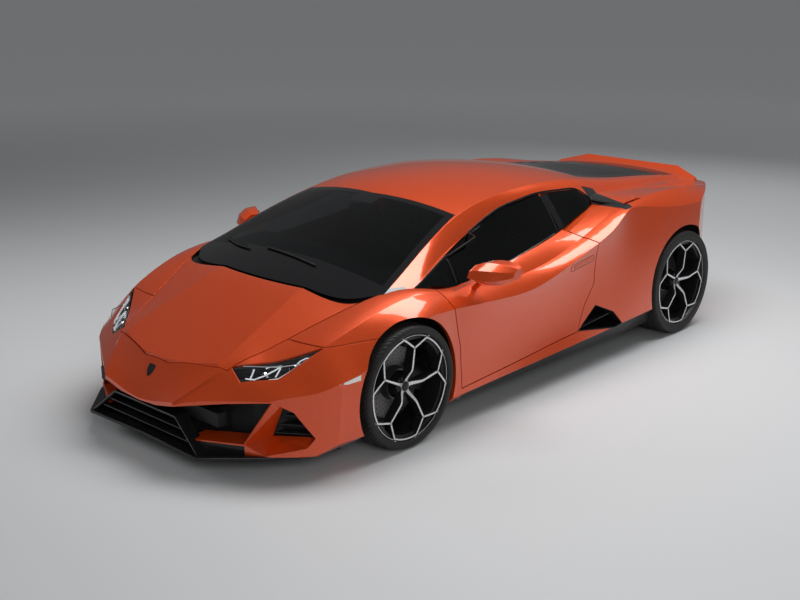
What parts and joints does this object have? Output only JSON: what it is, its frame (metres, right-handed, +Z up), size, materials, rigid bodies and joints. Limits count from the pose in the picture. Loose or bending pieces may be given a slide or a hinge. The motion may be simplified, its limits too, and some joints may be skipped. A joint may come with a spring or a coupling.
{
  "type": "supercar",
  "caption": "Low two-seat mid-engined sports car with opening doors, front lid and engine cover, steered front wheels and turning wheels.",
  "frame": {"origin": "middle of the car's length and width, on the ground under the tyres", "axes": "+X to the car's left side, -Y forwards to the nose, +Z up"},
  "size_m": [2.216, 4.52, 1.1649],
  "materials": {
    "paint": "pearl orange, gloss",
    "black_gloss": "gloss",
    "glass": "tinted",
    "tail_lens": "gloss",
    "black_plastic": "grained",
    "tub": "satin",
    "frame_metal": "cast and extruded",
    "exhaust": "brushed",
    "dash": "grained",
    "seat": "grained",
    "trim": "smooth",
    "rim": "gloss black, machined edges",
    "tyre": "moulded",
    "carrier": "cast"
  },
  "bodies": {
    "chassis": {"dash": "dash", "engine_block": "frame_metal", "exhaust": "exhaust", "fender_left": "paint", "fender_right": "paint", "front_bumper": "paint", "front_frame": "frame_metal", "front_liners": "black_plastic", "front_splitter": "black_gloss", "front_suspension": "frame_metal", "front_trunk": "black_plastic", "headlamps": "glass", "quarter_left": "paint", "quarter_right": "paint", "rear_bumper": "paint", "rear_carriers": "carrier", "rear_diffuser": "black_plastic", "rear_frame": "frame_metal", "rear_glass": "glass", "rear_liners": "black_plastic", "rear_suspension": "frame_metal", "roof": "paint", "seat_left": "seat", "seat_right": "seat", "side_lights": "glass", "side_skirts": "black_gloss", "sills": "paint", "spoiler": "paint", "tail_lamps": "tail_lens", "tail_panel": "black_gloss", "tub": "tub", "windshield": "glass"},
    "door_left": {"door_left": "paint", "door_glass_left": "glass", "mirror_left": "paint"},
    "door_right": {"door_right": "paint", "door_glass_right": "glass", "mirror_right": "paint"},
    "front_lid": {"front_lid": "paint"},
    "engine_cover": {"engine_cover": "black_gloss"},
    "knuckle_left": {"front_carrier_left": "carrier"},
    "knuckle_right": {"front_carrier_right": "carrier"},
    "front_wheel_left": {"front_rim_left": "rim", "front_tyre_left": "tyre"},
    "front_wheel_right": {"front_rim_right": "rim", "front_tyre_right": "tyre"},
    "rear_wheel_left": {"rear_rim_left": "rim", "rear_tyre_left": "tyre"},
    "rear_wheel_right": {"rear_rim_right": "rim", "rear_tyre_right": "tyre"},
    "steering_wheel": {"steering_wheel": "trim"}
  },
  "joints": [
    {"name": "door_left_hinge", "type": "hinge", "parent": "chassis", "child": "door_left", "pos_m": [0.925, -0.975, 0.45], "axis": [0, 0, -1], "range_deg": [0, 60]},
    {"name": "door_right_hinge", "type": "hinge", "parent": "chassis", "child": "door_right", "pos_m": [-0.925, -0.975, 0.45], "axis": [0, 0, 1], "range_deg": [0, 60]},
    {"name": "front_lid_hinge", "type": "hinge", "parent": "chassis", "child": "front_lid", "pos_m": [0, -1.245, 0.8], "axis": [-1, 0, 0], "range_deg": [0, 50]},
    {"name": "engine_cover_hinge", "type": "hinge", "parent": "chassis", "child": "engine_cover", "pos_m": [0, 0.81, 1.09], "axis": [1, 0, 0], "range_deg": [0, 60]},
    {"name": "steer_left", "type": "hinge", "parent": "chassis", "child": "knuckle_left", "pos_m": [0.76, -1.27, 0.3275], "axis": [0, 0, 1], "range_deg": [-30, 30]},
    {"name": "steer_right", "type": "hinge", "parent": "chassis", "child": "knuckle_right", "pos_m": [-0.76, -1.27, 0.3275], "axis": [0, 0, 1], "range_deg": [-30, 30]},
    {"name": "steering_wheel_turn", "type": "hinge", "parent": "chassis", "child": "steering_wheel", "pos_m": [0.365, -0.57, 0.69], "axis": [0, 0.9272, 0.3746], "range_deg": [-390, 390]},
    {"name": "front_left_spin", "type": "hinge", "parent": "knuckle_left", "child": "front_wheel_left", "pos_m": [0.834, -1.27, 0.3275], "axis": [1, 0, 0], "continuous": true},
    {"name": "front_right_spin", "type": "hinge", "parent": "knuckle_right", "child": "front_wheel_right", "pos_m": [-0.834, -1.27, 0.3275], "axis": [1, 0, 0], "continuous": true},
    {"name": "rear_left_spin", "type": "hinge", "parent": "chassis", "child": "rear_wheel_left", "pos_m": [0.81, 1.35, 0.3455], "axis": [1, 0, 0], "continuous": true},
    {"name": "rear_right_spin", "type": "hinge", "parent": "chassis", "child": "rear_wheel_right", "pos_m": [-0.81, 1.35, 0.3455], "axis": [1, 0, 0], "continuous": true}
  ],
  "couplings": [
    {"joint": "steer_right", "follows": "steer_left", "ratio": 1},
    {"joint": "steering_wheel_turn", "follows": "steer_left", "ratio": 13}
  ]
}
